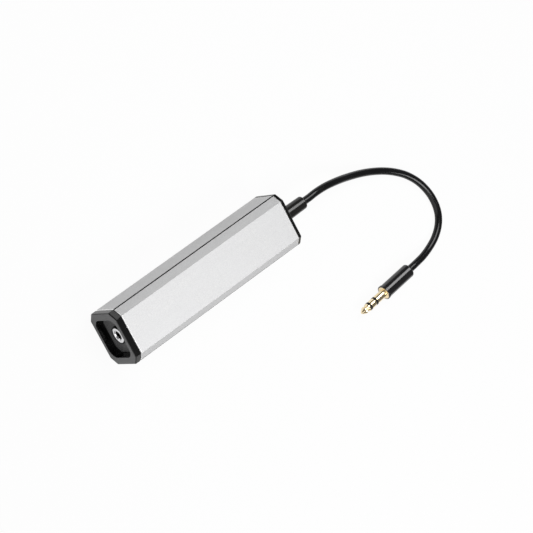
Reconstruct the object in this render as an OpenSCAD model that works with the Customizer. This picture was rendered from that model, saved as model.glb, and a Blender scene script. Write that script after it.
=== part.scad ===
// Ground loop isolator: an extruded aluminium tube with moulded end caps, a 3.5 mm stereo jack in the
// recessed front cap, two isolating transformers on a circuit board inside, and a short cord with a
// 3.5 mm stereo plug at the back. X runs from the jack end to the cord end, and Z = 0 is the table.

/* [Tube] */
// Length of the aluminium tube
tube_l = 87.5; // [80:0.5:110]
// Width across the tube's two narrow sides
tube_w = 23; // [22:0.5:34]
// Height across the tube's two wide faces
tube_t = 19.5; // [18.5:0.5:28]
// Leg of the four long chamfers
tube_chamfer = 3.1; // [2:0.1:3.4]
// Wall of the extrusion
tube_wall = 1.3; // [1:0.1:1.4]
// Width and depth of the hairline groove along each upper arris
groove = 0.3; // [0.2:0.05:0.4]
// Bevel round the tube's cut ends
cut_bevel = 0.25; // [0.1:0.05:0.4]

/* [Board slots] */
// Reach of the slot ribs from the tube's inner wall
rib_reach = 0.9; // [0.6:0.1:1.2]
// Thickness of each slot rib
rib_t = 1; // [0.8:0.1:1.4]

/* [Front cap] */
// Length of the front cap outside the tube
front_flange = 3; // [2:0.1:5]
// Length of the front cap's plug inside the tube
front_spigot = 6; // [4:0.5:8]
// Depth of the recess round the jack
pocket_depth = 3.8; // [3:0.1:3.9]
// Rim between the recess and the narrow sides
pocket_rim_y = 3.1; // [2.6:0.1:3.6]
// Rim between the recess and the wide faces
pocket_rim_z = 1.95; // [1.9:0.05:2.6]
// Leg of the recess's corner chamfers
pocket_chamfer = 2.4; // [1.6:0.1:3]
// Corner radius of the recess
pocket_round = 1.4; // [0.8:0.1:1.8]
// Thickness of the recess floor
pocket_floor = 1.5; // [1.2:0.1:2]
// Width of the shadow line beside the tube
shadow_w = 0.4; // [0.2:0.1:0.8]
// Depth of the shadow line
shadow_d = 0.35; // [0.2:0.05:0.6]

/* [Rear cap] */
// Length of the rear cap outside the tube
rear_flange = 1.5; // [1.2:0.1:3]
// Length of the rear cap's plug inside the tube
rear_spigot = 5; // [4:0.5:8]
// Thickness of the plate that the strain relief snaps into
rear_plate = 2.3; // [2:0.1:3]

/* [Both caps] */
// Wall of the cap plugs inside the tube
spigot_wall = 1.2; // [1:0.1:1.5]
// Bevel round the caps' outer faces
cap_bevel = 0.5; // [0.3:0.1:0.8]

/* [Jack] */
// Bore that takes a 3.5 mm plug
jack_bore_d = 3.6; // [3.55:0.01:3.7]
// Widest diameter of the bright bushing
bushing_d = 6.7; // [6.2:0.1:7]
// Diameter of the bushing's narrow tail
bushing_tail_d = 5.2; // [4.8:0.1:5.6]
// Length of the bushing's wide front
bushing_front_l = 3.4; // [3:0.1:4]
// Whole length of the bushing
bushing_l = 5; // [4.6:0.1:5.6]
// Diameter of the bushing's flared mouth
bushing_mouth_d = 4.3; // [4:0.1:5]
// Depth of the flared mouth
bushing_mouth_l = 0.55; // [0.4:0.05:0.8]
// Diameter of the jack's round nose
nose_d = 7.6; // [7.4:0.1:8]
// Stand of the nose above the recess floor
nose_stand = 1.2; // [0.8:0.1:2]
// Length of the jack's box
jack_l = 12; // [11.8:0.1:14]
// Width of the jack's box
jack_w = 8.4; // [8:0.1:9]
// Height of the jack's box
jack_t = 8; // [7.8:0.1:8.6]
// Thickness of the contact strips
contact_t = 0.3; // [0.2:0.05:0.4]
// Height of the contact strips
contact_h = 1.6; // [1.2:0.1:2]
// Length of the legs' flat, along the board
leg_l = 1; // [0.8:0.1:1.4]

/* [Board] */
// Thickness of the circuit board
board_t = 1.2; // [1:0.1:1.6]
// Width of the board's front tongue
tongue_w = 15; // [12:0.5:17]
// Tail of legs and pins under the board
pin_tail = 1; // [0.6:0.1:1.5]
// Diameter of the board's holes for wires
wire_hole_d = 1.3; // [1.2:0.05:1.6]

/* [Transformers] */
// Place of the left channel's transformer along the tube
left_x = -13.5; // [-18:0.5:-10]
// Place of the right channel's transformer along the tube
right_x = 8; // [6:0.5:14]
// Length of the core
core_l = 14.4; // [14:0.1:15]
// Width of the core
core_w = 14; // [13.6:0.1:15]
// Height of the lamination stack
core_t = 5; // [4.4:0.1:5.4]
// Width of the core's centre leg
core_leg = 4; // [3.6:0.1:4.4]
// Width of the core's outer limbs
core_limb = 2.2; // [2:0.1:2.4]
// Height of the bobbin's end flanges
bobbin_t = 10.5; // [9.6:0.1:11]
// Thickness of the bobbin's end flanges
bobbin_flange = 1.2; // [1.1:0.1:1.4]
// Wall of the bobbin's tube
bobbin_wall = 0.6; // [0.5:0.1:0.8]
// Step from the flange's rim down to the winding
winding_step = 0.4; // [0.3:0.1:0.8]
// Diameter of the transformer pins
pin_d = 0.6; // [0.5:0.05:0.7]
// Spacing of the pins across the bobbin
pin_pitch = 3.2; // [2.6:0.1:3.6]

/* [Strain relief] */
// Length of the strain relief outside the rear cap
relief_l = 14; // [12:0.5:18]
// Diameter at the rear cap
relief_d = 6.1; // [5.8:0.1:6.6]
// Diameter at the cord
relief_end_d = 5.6; // [4.8:0.1:5.8]
// Rounding of the cord end
relief_round = 0.6; // [0.4:0.1:1.2]
// Diameter of the neck in the rear cap
relief_neck_d = 4.6; // [4:0.1:5]
// Diameter of the flange inside the rear cap
relief_flange_d = 7; // [6.2:0.1:7.4]
// Thickness of the flange inside the rear cap
relief_flange_t = 1.2; // [0.8:0.1:1.6]

/* [Cord] */
// Diameter of the cord
cord_d = 3.2; // [2.8:0.1:3.4]
// Diameter of the inner wires
wire_d = 1; // [0.8:0.05:1.1]
// Spread of the inner wires where they leave the strain relief
wire_spread = 1.4; // [1.2:0.1:1.8]
// Spacing of the inner wires on the board
wire_pitch = 4; // [3:0.5:6]
// Distance of the wire holes behind the second transformer
wire_room = 17; // [14:0.5:20]

/* [Plug] */
// Diameter of the plug's pin
plug_d = 3.5; // [3.45:0.01:3.55]
// Length of the plug's pin
plug_l = 14; // [13.8:0.1:14.4]
// Length of the sleeve contact
sleeve_l = 5.1; // [4.8:0.1:5.4]
// Length of the ring contact
ring_l = 3; // [2.6:0.1:3.2]
// Width of the insulating bands
band_l = 0.7; // [0.5:0.05:0.9]
// Diameter of the bright collar at the grip
collar_d = 5.7; // [4.6:0.1:5.8]
// Stand of the collar in front of the grip
collar_l = 0.6; // [0.4:0.1:1]
// Length of the grip
grip_l = 16.5; // [14:0.5:22]
// Diameter of the grip
grip_d = 6.1; // [5.8:0.1:6.2]
// Diameter of the rim at the grip's front
rim_d = 6.5; // [6.3:0.1:6.5]
// Width of the rim
rim_l = 0.9; // [0.6:0.1:1.4]
// Rounding of the grip's back end
grip_round = 0.7; // [0.4:0.1:1]
// Length of the contacts' root inside the grip
root_l = 5; // [4:0.1:6]

/* [Fits] */
// Gap between pieces that seat in each other
seat_gap = 0.05; // [0.03:0.01:0.1]
// Gap round the cap plugs and the board
slide_gap = 0.1; // [0.08:0.01:0.15]

/* [Hidden] */
$fn = 64;
eps = 0.01;
far = 60;

// Stations along X, counted from the middle of the whole housing
front_face_x = -(front_flange + tube_l + rear_flange) / 2;
tube_x0 = front_face_x + front_flange;
tube_x1 = tube_x0 + tube_l;
rear_face_x = tube_x1 + rear_flange;
floor_x = front_face_x + pocket_depth;
floor_back_x = floor_x + pocket_floor;
nose_x = floor_x - nose_stand;
jack_back_x = floor_back_x + jack_l;
relief_x = rear_face_x + relief_l;
plate_x = rear_face_x - rear_plate;
wire_start_x = plate_x - relief_flange_t;

// The tube's inside
axis_z = tube_t / 2;
inner_w = tube_w - 2 * tube_wall;
inner_t = tube_t - 2 * tube_wall;
inner_chamfer = tube_chamfer - tube_wall * (2 - sqrt(2));

// The board lies in its slots, low enough that the jack's axis is the tube's axis
board_top = axis_z - jack_t / 2;
board_z = board_top - board_t;
board_w = inner_w - 2 * slide_gap;
board_x0 = tube_x0 + front_spigot + slide_gap;
board_x1 = tube_x1 - rear_spigot - slide_gap;
tongue_x = floor_back_x + slide_gap;
rib_y = inner_w / 2 - rib_reach;
// The tails stay clear of the cap plug's lower wall
tail_room = board_z - tube_wall - spigot_wall - 2 * slide_gap;
pin_end_z = board_z - min(pin_tail, tail_room - seat_gap);

// The jack's contacts touch the plug's pin where its own contacts come to rest
jack_bore_r = jack_bore_d / 2;
cavity_x0 = nose_x + bushing_l;
cavity_x1 = jack_back_x - 0.7;
cavity_y = jack_w / 2 - 1.3;
cavity_z = 2.2;
strip_y = cavity_y - seat_gap - contact_t / 2;
touch_y = jack_bore_r + contact_t / 2;
ring_touch_x = nose_x + sleeve_l + band_l + ring_l / 2;
tip_touch_x = nose_x + plug_l - 2;
sleeve_leg_x = nose_x + bushing_l - leg_l;

// The transformers
core_z = board_top + bobbin_t / 2;
window_x = core_l / 2 - core_limb;
window_y = core_w / 2 - core_limb;
bobbin_x = window_x - slide_gap;
bobbin_y = window_y - slide_gap;
pin_x = bobbin_x - bobbin_flange / 2;

// The wires reach the board behind the second transformer
wire_x = right_x + core_l / 2 + wire_room;

// The plug lies on the table, pointing back beside the tube
plug_yaw = 4.6;
grip_front = [79.5, -54.9, 3.25];
back_dir = [cos(plug_yaw), sin(plug_yaw), 0];
grip_back = grip_front + grip_l * back_dir;

// The cord leaves straight, sinks to the table, turns back and rises straight into the plug
cord_straight = 4;
cord_route = concat(
    [for (s = [0 : 0.5 : 1]) [relief_x + s * cord_straight, 0, axis_z]],
    [
        [68, 0.1, 9.6], [74, -0.45, 8.8], [81.4, -2, 7.2], [88.8, -4.1, 5.1],
        [96, -6.5, 3.5], [102.4, -9.15, 2.35], [108.3, -12.2, 1.85], [113.3, -15.6, 1.7],
        [117.9, -19.8, 1.7], [121.8, -25.4, 1.7], [124.1, -31.8, 1.7], [124.5, -37.7, 1.7],
        [123.3, -42.6, 1.7], [120.5, -46.6, 1.7], [116.3, -49.7, 1.75], [111.3, -51.7, 1.95],
        [105.9, -52.8, 2.6]
    ],
    [for (s = [1 : -0.5 : 0]) grip_back + s * cord_straight * back_dir]
);

// Points on a smooth curve through a list of points, with n steps between each pair
function ahead(p, i) = i < 0 ? 2 * p[0] - p[1] : i >= len(p) ? 2 * p[len(p) - 1] - p[len(p) - 2] : p[i];
function blend(a, b, c, d, t) =
    (2 * b + (c - a) * t + (2 * a - 5 * b + 4 * c - d) * t * t + (3 * b - a - 3 * c + d) * t * t * t) / 2;
function smooth(p, n) = [
    for (i = [0 : len(p) - 2], k = [0 : n - 1])
        blend(ahead(p, i - 1), ahead(p, i), ahead(p, i + 1), ahead(p, i + 2), k / n),
    p[len(p) - 1]
];
function unit(v) = v / norm(v);

// A round tube along a path: every ring stands square to the path, and side_ref keeps it from twisting
module sweep(path, d, side_ref, sides = 8) {
    last = len(path) - 1;
    rings = [
        for (i = [0 : last])
            let (
                along = unit(path[min(i + 1, last)] - path[max(i - 1, 0)]),
                side = unit(cross(side_ref, along)),
                up = cross(along, side)
            )
            for (k = [0 : sides - 1])
                let (a = 360 * (k + 0.5) / sides)
                path[i] + d / 2 * (cos(a) * side + sin(a) * up)
    ];
    walls = [
        for (i = [0 : last - 1], k = [0 : sides - 1])
            let (a = i * sides + k, b = i * sides + (k + 1) % sides)
            [a, a + sides, b + sides, b]
    ];
    ends = [
        [for (k = [0 : sides - 1]) k],
        [for (k = [sides - 1 : -1 : 0]) last * sides + k]
    ];
    polyhedron(points = rings, faces = concat(walls, ends), convexity = 10);
}

// The tube's outline and its relatives, drawn across the axis
module octagon(w, t, c) {
    polygon([
        [w / 2, c - t / 2], [w / 2, t / 2 - c], [w / 2 - c, t / 2], [c - w / 2, t / 2],
        [-w / 2, t / 2 - c], [-w / 2, c - t / 2], [c - w / 2, -t / 2], [w / 2 - c, -t / 2]
    ]);
}

// A prism along X about the tube's axis, from a shape drawn with Y to the right and Z up
module along_x(x0, x1) {
    translate([x0, 0, axis_z]) rotate([90, 0, 90]) linear_extrude(x1 - x0) children();
}

module rod_x(x0, x1, d) {
    along_x(x0, x1) circle(d = d);
}

// A solid turned about the tube's axis: children are drawn with the radius to the right and X up
module turned_x(x0) {
    translate([x0, 0, axis_z]) rotate([0, 90, 0]) rotate_extrude() children();
}

// Cuts a bevel round the octagon's edge at station x
module edge_bevel(x, b) {
    slant = (tube_w + tube_t) / 2 - tube_chamfer;
    for (side = [0 : 7]) {
        reach = side % 2 == 1 ? slant / sqrt(2) : side % 4 == 0 ? tube_w / 2 : tube_t / 2;
        translate([x, 0, axis_z]) rotate([45 * side, 0, 0]) translate([0, reach, 0])
            rotate([0, 0, 45]) cube([b * sqrt(2), b * sqrt(2), far], center = true);
    }
}

module mirrored_y() {
    children();
    mirror([0, 1, 0]) children();
}

// Ribs above and below the board's edge, left of the axis
module slot_ribs(x0, x1, gap) {
    for (z = [board_z - rib_t, board_top])
        translate([x0, rib_y - gap, z - (z < board_z ? slide_gap : -slide_gap) - gap])
            cube([x1 - x0, rib_reach + tube_wall / 2 + gap, rib_t + 2 * gap]);
}

module shell() {
    color("silver") difference() {
        union() {
            difference() {
                along_x(tube_x0, tube_x1) octagon(tube_w, tube_t, tube_chamfer);
                along_x(tube_x0 - 1, tube_x1 + 1) octagon(inner_w, inner_t, inner_chamfer);
            }
            mirrored_y() slot_ribs(tube_x0, tube_x1, 0);
        }
        mirrored_y() along_x(tube_x0 - 1, tube_x1 + 1)
            translate([tube_w / 2, tube_t / 2 - tube_chamfer]) rotate(22.5)
                square([2 * groove, groove], center = true);
        edge_bevel(tube_x0, cut_bevel);
        edge_bevel(tube_x1, cut_bevel);
    }
}

// The hollow plug of a cap, notched so that it passes the tube's ribs
module cap_plug(x0, x1, solid_x0, solid_x1) {
    w = inner_w - 2 * slide_gap;
    t = inner_t - 2 * slide_gap;
    difference() {
        along_x(x0, x1) octagon(w, t, inner_chamfer);
        difference() {
            along_x(x0 - 1, x1 + 1)
                octagon(w - 2 * spigot_wall, t - 2 * spigot_wall, inner_chamfer);
            along_x(solid_x0, solid_x1) octagon(tube_w, tube_t, tube_chamfer);
        }
        mirrored_y() translate([x0 - 1, rib_y - slide_gap, board_z - rib_t - 2 * slide_gap])
            cube([x1 - x0 + 2, tube_w, board_t + 2 * rib_t + 4 * slide_gap]);
    }
}

module front_cap() {
    rim_x = tube_x0 - shadow_w;
    color([0.13, 0.13, 0.13]) difference() {
        union() {
            along_x(front_face_x, rim_x) octagon(tube_w, tube_t, tube_chamfer);
            along_x(rim_x - eps, tube_x0)
                octagon(tube_w - 2 * shadow_d, tube_t - 2 * shadow_d, tube_chamfer - shadow_d / 2);
            cap_plug(tube_x0 - eps, tube_x0 + front_spigot, tube_x0 - eps, floor_back_x);
        }
        edge_bevel(front_face_x, cap_bevel);
        along_x(front_face_x - 1, floor_x)
            offset(r = pocket_round) offset(delta = -pocket_round)
                octagon(tube_w - 2 * pocket_rim_y, tube_t - 2 * pocket_rim_z, pocket_chamfer);
        rod_x(floor_x - 1, floor_back_x + 1, nose_d + 2 * slide_gap);
    }
}

module rear_cap() {
    color([0.13, 0.13, 0.13]) difference() {
        union() {
            along_x(tube_x1, rear_face_x) octagon(tube_w, tube_t, tube_chamfer);
            cap_plug(tube_x1 - rear_spigot, tube_x1 + eps, plate_x, tube_x1 + 1);
        }
        edge_bevel(rear_face_x, cap_bevel);
        rod_x(plate_x - 1, rear_face_x + 1, relief_neck_d + 2 * seat_gap);
    }
}

// A collar inside, a neck in the rear cap and a tapered body with a rounded end outside
module strain_relief() {
    r0 = relief_d / 2;
    r1 = relief_end_d / 2;
    color([0.1, 0.1, 0.1]) turned_x(rear_face_x) {
        difference() {
            polygon([[0, 0], [r0, 0], [r1, relief_l - relief_round], [r1, relief_l], [0, relief_l]]);
            translate([r1 - relief_round, relief_l - relief_round])
                difference() {
                    square(relief_round + 1);
                    circle(relief_round);
                }
        }
        translate([0, -rear_plate]) square([relief_neck_d / 2, rear_plate + eps]);
        translate([0, -rear_plate - relief_flange_t])
            square([relief_flange_d / 2, relief_flange_t]);
    }
}

// The box, its round nose, the seat of the bushing and the room for the contacts
module jack_housing() {
    nose_l = floor_back_x - nose_x;
    color([0.08, 0.08, 0.08]) difference() {
        union() {
            rod_x(nose_x, floor_back_x + eps, nose_d);
            translate([floor_back_x, -jack_w / 2, board_top]) cube([jack_l, jack_w, jack_t]);
        }
        turned_x(nose_x) {
            translate([0, -1]) square([bushing_d / 2 + seat_gap, bushing_front_l + 1]);
            square([bushing_tail_d / 2 + seat_gap, bushing_l + eps]);
        }
        translate([cavity_x0, -cavity_y, axis_z - cavity_z])
            cube([cavity_x1 - cavity_x0, 2 * cavity_y, 2 * cavity_z]);
        for (leg = [[ring_leg_x(), strip_y], [tip_leg_x(), -strip_y], [sleeve_leg_x, 0]])
            translate([leg[0] - seat_gap, leg[1] - contact_t / 2 - seat_gap, board_top - 1])
                cube([leg_l + 2 * seat_gap, contact_t + 2 * seat_gap, axis_z - board_top - contact_h / 2 + 1]);
    }
}

// Turned brass: a wide front with a flared mouth and a narrow tail, bored for the plug
module jack_bushing() {
    flare = (bushing_mouth_d - jack_bore_d) / 2;
    color("gainsboro") turned_x(nose_x) difference() {
        union() {
            square([bushing_d / 2, bushing_front_l]);
            square([bushing_tail_d / 2, bushing_l]);
        }
        translate([0, -1]) square([jack_bore_r, bushing_l + 2]);
        polygon([[0, 0], [jack_bore_r + flare, 0], [jack_bore_r, bushing_mouth_l], [0, bushing_mouth_l]]);
    }
}

function ring_leg_x() = ring_touch_x + 1.6;
function tip_leg_x() = tip_touch_x - 1.6 - leg_l;

// A strip bent to a soft point that touches the plug, with a leg down through the board
module contact(leg_x, bend_x, side) {
    line = [
        [leg_x, strip_y], [leg_x + leg_l, strip_y],
        [bend_x + (leg_x > bend_x ? 0.9 : -0.9), strip_y - 0.1], [bend_x, touch_y],
        [bend_x + (leg_x > bend_x ? -0.9 : 0.9), strip_y - 0.1]
    ];
    run = leg_x > bend_x ? [line[1], line[0], line[2], line[3], line[4]] : line;
    color("goldenrod") mirror([0, side < 0 ? 1 : 0, 0]) {
        translate([0, 0, axis_z - contact_h / 2]) linear_extrude(contact_h) {
            for (i = [0 : len(run) - 2]) hull() {
                translate(run[i]) circle(d = contact_t, $fn = 16);
                translate(run[i + 1]) circle(d = contact_t, $fn = 16);
            }
        }
        translate([leg_x, strip_y - contact_t / 2, pin_end_z])
            cube([leg_l, contact_t, axis_z - pin_end_z]);
    }
}

module jack_ring_contact() {
    contact(ring_leg_x(), ring_touch_x, 1);
}

module jack_tip_contact() {
    contact(tip_leg_x(), tip_touch_x, -1);
}

// The ground leg grips the bushing's tail from below
module jack_sleeve_contact() {
    grip_z = axis_z - bushing_tail_d / 2 - seat_gap;
    color("goldenrod") translate([sleeve_leg_x, -contact_t / 2, pin_end_z])
        cube([leg_l, contact_t, grip_z - pin_end_z]);
}

// A board with a narrow tongue under the jack, and a hole for every pin, leg and wire
module circuit_board() {
    color("darkgreen") translate([0, 0, board_z]) difference() {
        union() {
            translate([board_x0, -board_w / 2, 0]) cube([board_x1 - board_x0, board_w, board_t]);
            translate([tongue_x, -tongue_w / 2, 0]) cube([board_x0 - tongue_x + 1, tongue_w, board_t]);
        }
        for (x = [left_x, right_x], end = [-1, 1], row = [-1 : 1])
            translate([x + end * pin_x, row * pin_pitch, -1])
                cylinder(d = pin_d + 2 * slide_gap, h = board_t + 2);
        for (side = [-1 : 1])
            translate([wire_x, side * wire_pitch, -1]) cylinder(d = wire_hole_d, h = board_t + 2);
        for (leg = [[ring_leg_x(), strip_y], [tip_leg_x(), -strip_y], [sleeve_leg_x, 0]])
            translate([leg[0] - slide_gap, leg[1] - contact_t / 2 - slide_gap, -1])
                cube([leg_l + 2 * slide_gap, contact_t + 2 * slide_gap, board_t + 2]);
    }
}

module core(x) {
    window = [2 * window_x, window_y - core_leg / 2, core_t + 2];
    color("dimgray") translate([x, 0, core_z]) difference() {
        cube([core_l, core_w, core_t], center = true);
        mirrored_y() translate([0, (window_y + core_leg / 2) / 2, 0]) cube(window, center = true);
    }
}

// A rectangular tube on the core's centre leg, with a flange at each end that holds three pins
module bobbin(x) {
    tube_in = [core_leg + 2 * slide_gap, core_t + 2 * slide_gap];
    color("ivory") translate([x, 0, core_z]) difference() {
        union() {
            cube([2 * bobbin_x, tube_in[0] + 2 * bobbin_wall, tube_in[1] + 2 * bobbin_wall], center = true);
            for (end = [-1, 1])
                translate([end * pin_x, 0, 0]) cube([bobbin_flange, 2 * bobbin_y, bobbin_t], center = true);
        }
        cube([2 * bobbin_x + 2, tube_in[0], tube_in[1]], center = true);
        for (end = [-1, 1], row = [-1 : 1])
            translate([end * pin_x, row * pin_pitch, -bobbin_t / 2 - 1])
                cylinder(d = pin_d + 2 * seat_gap, h = 2.6, $fn = 32);
    }
}

// Wire and tape between the flanges, with rounded long edges
module winding(x) {
    half_x = bobbin_x - bobbin_flange - seat_gap;
    w = 2 * (bobbin_y - winding_step);
    t = bobbin_t - 2 * winding_step;
    hole_w = core_leg + 2 * (slide_gap + bobbin_wall + seat_gap);
    hole_t = core_t + 2 * (slide_gap + bobbin_wall + seat_gap);
    r = 1.4;
    color("goldenrod") translate([x - half_x, 0, core_z]) rotate([90, 0, 90]) linear_extrude(2 * half_x)
        difference() {
            union() {
                square([w - 2 * r, t], center = true);
                square([w, t - 2 * r], center = true);
                for (y = [-1, 1], z = [-1, 1]) translate([y * (w / 2 - r), z * (t / 2 - r)]) circle(r);
            }
            square([hole_w, hole_t], center = true);
        }
}

module pins(x) {
    top = board_top + 1.5;
    color("gainsboro") for (end = [-1, 1], row = [-1 : 1])
        translate([x + end * pin_x, row * pin_pitch, pin_end_z])
            cylinder(d = pin_d, h = top - pin_end_z, $fn = 32);
}

module left_core() core(left_x);
module left_bobbin() bobbin(left_x);
module left_winding() winding(left_x);
module left_pins() pins(left_x);
module right_core() core(right_x);
module right_bobbin() bobbin(right_x);
module right_winding() winding(right_x);
module right_pins() pins(right_x);

// An inner wire from the strain relief, over and down into its hole in the board
module wire(side) {
    y0 = side * wire_spread;
    y1 = side * wire_pitch;
    span = wire_start_x - wire_x;
    route = [
        [wire_start_x, y0, axis_z], [wire_start_x - 0.1 * span, y0, axis_z],
        [wire_start_x - 0.2 * span, y0, axis_z],
        [wire_start_x - 0.5 * span, (y0 + y1) / 2, axis_z],
        [wire_x + 0.15 * span, y1, axis_z - 0.8], [wire_x, y1, board_top + 1.4],
        [wire_x, y1, board_top], [wire_x, y1, pin_end_z]
    ];
    sweep(smooth(route, 3), wire_d, [0, 1, 0]);
}

module wire_left() color("white") wire(1);
module wire_ground() color("black") wire(0);
module wire_right() color("red") wire(-1);

module cord() {
    color([0.07, 0.07, 0.07]) sweep(cord_route, cord_d, [0, 0, 1]);
}

// The plug's own frame: Z runs along the pin from the grip's front face
module at_plug() {
    translate(grip_front) rotate([0, 0, 180 + plug_yaw]) rotate([0, 90, 0]) children();
}

// Radii of the coaxial contacts inside the pin, outermost first
pin_r = plug_d / 2;
sleeve_in_r = pin_r - 0.45;
ring_out_r = sleeve_in_r - 0.4;
ring_in_r = ring_out_r - 0.3;
rod_r = ring_in_r - 0.35;
band1 = collar_l + sleeve_l;
band2 = band1 + band_l + ring_l;
tip_z = band2 + band_l;
end_z = collar_l + plug_l;
root_r = pin_r + 0.35;

// A tube about the pin between two stations
module pin_tube(z0, z1, r_in, r_out) {
    translate([r_in, z0]) square([r_out - r_in, z1 - z0]);
}

module plug_grip() {
    r = grip_d / 2;
    color([0.07, 0.07, 0.07]) at_plug() difference() {
        rotate_extrude() {
            translate([0, -rim_l]) square([rim_d / 2, rim_l]);
            difference() {
                translate([0, -grip_l]) square([r, grip_l - rim_l + eps]);
                translate([r - grip_round, grip_round - grip_l]) difference() {
                    translate([0, -grip_round - 1]) square([grip_round + 1, grip_round + 1]);
                    circle(grip_round);
                }
            }
        }
        rotate_extrude() {
            pin_tube(-root_l - seat_gap, 1, 0, root_r + seat_gap);
            pin_tube(-root_l - 2 - seat_gap, 1, 0, ring_out_r + seat_gap);
            pin_tube(-root_l - 4 - seat_gap, 1, 0, rod_r + seat_gap);
        }
    }
}

module plug_sleeve() {
    color("gold") at_plug() rotate_extrude() {
        pin_tube(-root_l, collar_l, sleeve_in_r, root_r);
        pin_tube(0, collar_l, sleeve_in_r, collar_d / 2);
        pin_tube(0, band1 - seat_gap, sleeve_in_r, pin_r);
    }
}

module plug_rear_insulator() {
    color([0.05, 0.05, 0.05]) at_plug() rotate_extrude() {
        pin_tube(-root_l, band1, ring_out_r + seat_gap, sleeve_in_r - seat_gap);
        pin_tube(band1, band1 + band_l, ring_out_r + seat_gap, pin_r);
    }
}

module plug_ring_contact() {
    color("gold") at_plug() rotate_extrude() {
        pin_tube(-root_l - 2, band2 - seat_gap, ring_in_r, ring_out_r);
        pin_tube(band1 + band_l + seat_gap, band2 - seat_gap, ring_in_r, pin_r);
    }
}

module plug_front_insulator() {
    color([0.05, 0.05, 0.05]) at_plug() rotate_extrude() {
        pin_tube(-root_l - 2, band2, rod_r + seat_gap, ring_in_r - seat_gap);
        pin_tube(band2, tip_z, rod_r + seat_gap, pin_r);
    }
}

// The tip's neck catches the jack's spring, and its rod runs back through the whole pin
module plug_tip_contact() {
    neck_r = 1.15;
    head_r = 1.5;
    point_r = 0.3;
    color("gold") at_plug() rotate_extrude() {
        pin_tube(-root_l - 4, tip_z + 1, 0, rod_r);
        polygon([
            [0, tip_z + seat_gap], [pin_r, tip_z + seat_gap], [pin_r, end_z - 3.1],
            [neck_r, end_z - 2.15], [neck_r, end_z - 1.85], [head_r, end_z - 1.35],
            [point_r, end_z - 0.1], [0, end_z]
        ]);
    }
}

shell();
front_cap();
rear_cap();
strain_relief();
jack_housing();
jack_bushing();
jack_sleeve_contact();
jack_ring_contact();
jack_tip_contact();
circuit_board();
left_core();
left_bobbin();
left_winding();
left_pins();
right_core();
right_bobbin();
right_winding();
right_pins();
wire_left();
wire_ground();
wire_right();
cord();
plug_grip();
plug_sleeve();
plug_rear_insulator();
plug_ring_contact();
plug_front_insulator();
plug_tip_contact();
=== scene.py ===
import math

import bmesh
import bpy
from mathutils import Matrix, Vector


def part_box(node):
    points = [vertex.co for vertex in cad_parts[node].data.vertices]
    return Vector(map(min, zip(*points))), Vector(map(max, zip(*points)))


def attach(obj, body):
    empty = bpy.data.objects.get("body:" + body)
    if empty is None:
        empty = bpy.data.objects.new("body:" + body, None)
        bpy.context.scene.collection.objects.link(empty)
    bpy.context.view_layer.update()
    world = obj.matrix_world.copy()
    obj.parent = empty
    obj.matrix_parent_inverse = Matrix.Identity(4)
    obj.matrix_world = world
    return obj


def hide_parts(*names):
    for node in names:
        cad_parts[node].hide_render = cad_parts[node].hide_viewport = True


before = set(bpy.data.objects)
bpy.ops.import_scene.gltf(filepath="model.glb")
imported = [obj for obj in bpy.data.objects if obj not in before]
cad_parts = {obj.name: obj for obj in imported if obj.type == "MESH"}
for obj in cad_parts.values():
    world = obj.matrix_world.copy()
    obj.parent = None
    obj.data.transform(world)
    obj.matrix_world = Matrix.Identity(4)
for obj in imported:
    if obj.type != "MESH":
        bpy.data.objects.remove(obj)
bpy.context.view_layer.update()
scene = bpy.context.scene
MM = 0.001


# --- camera and studio light ---

def set_camera():
    """The photograph's own place and angle, in metres."""
    right = Vector((0.69909, -0.44644, 0.55854))
    up = Vector((0.51344, 0.85708, 0.04242))
    back = Vector((-0.49765, 0.25712, 0.82839))
    lens = bpy.data.cameras.new("camera")
    lens.sensor_width = 36
    lens.lens = 163.4
    lens.clip_start, lens.clip_end = 0.05, 20
    camera = bpy.data.objects.new("camera", lens)
    turn = Matrix((right, up, back)).transposed().to_4x4()
    camera.matrix_world = Matrix.Translation((-0.45503, 0.23787, 0.81800)) @ turn
    scene.collection.objects.link(camera)
    scene.camera = camera


def softbox(name, aim, direction, distance, size, radiance):
    """An area lamp that looks at a point of the object; its first side runs with the tube."""
    back = Vector(direction).normalized()
    across = back.cross(Vector((1, 0, 0))).normalized()
    lamp = bpy.data.lights.new(name, "AREA")
    lamp.shape = "RECTANGLE"
    lamp.size, lamp.size_y = size
    lamp.energy = radiance * math.pi * size[0] * size[1]
    box = bpy.data.objects.new(name, lamp)
    turn = Matrix((across.cross(back), across, back)).transposed().to_4x4()
    box.matrix_world = Matrix.Translation(Vector(aim) + back * distance) @ turn
    scene.collection.objects.link(box)


# --- finishes ---

class Value:
    """A socket in a tree. Arithmetic on it adds Math nodes."""

    def __init__(self, nodes, socket):
        self.nodes = nodes
        self.socket = socket

    def _math(self, operation, *terms):
        return self.nodes.add("ShaderNodeMath", {"operation": operation}, terms)

    def __add__(self, other):
        return self._math("ADD", self, other)

    def __sub__(self, other):
        return self._math("SUBTRACT", self, other)

    def __mul__(self, other):
        return self._math("MULTIPLY", self, other)

    def __truediv__(self, other):
        return self._math("DIVIDE", self, other)

    def __pow__(self, other):
        return self._math("POWER", self, other)

    def __rsub__(self, other):
        return self._math("SUBTRACT", other, self)

    def __rtruediv__(self, other):
        return self._math("DIVIDE", other, self)

    def __abs__(self):
        return self._math("ABSOLUTE", self)

    __radd__ = __add__
    __rmul__ = __mul__


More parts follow.
